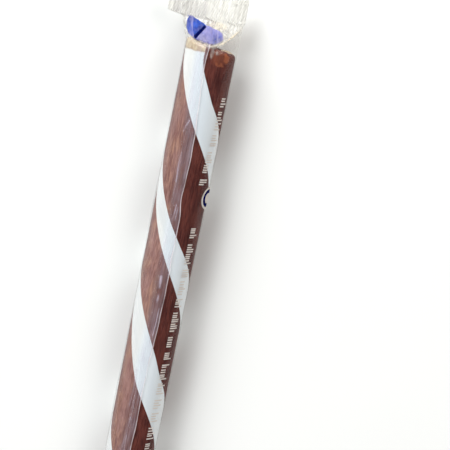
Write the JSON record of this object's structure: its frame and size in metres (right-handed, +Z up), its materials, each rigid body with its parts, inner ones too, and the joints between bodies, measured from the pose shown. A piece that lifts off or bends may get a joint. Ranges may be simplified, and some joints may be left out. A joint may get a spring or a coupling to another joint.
{
  "type": "wrapped hard candy stick",
  "caption": "Round brown and white spiral-striped boiled-sugar stick in a clear film wrapper with flat ribbed seals at both ends, lying down.",
  "frame": {"origin": "under the middle of the stick, on the narrow flat strip that it rests on", "axes": "+Y along the stick towards the end that the picture shows, +Z up through the shown side, +X to its right"},
  "size_m": [0.0226, 0.151, 0.012],
  "materials": {
    "clear_film": "clear crinkled glossy film, cloudy at the seals",
    "brown_candy": "glossy dark brown boiled sugar with fine lengthwise streaks",
    "white_candy": "satin white pulled sugar",
    "blue_print": "solid blue ink on film",
    "white_print": "white ink on film"
  },
  "bodies": {
    "root": {"wrapped_candy_stick": "clear_film"}
  },
  "joints": []
}
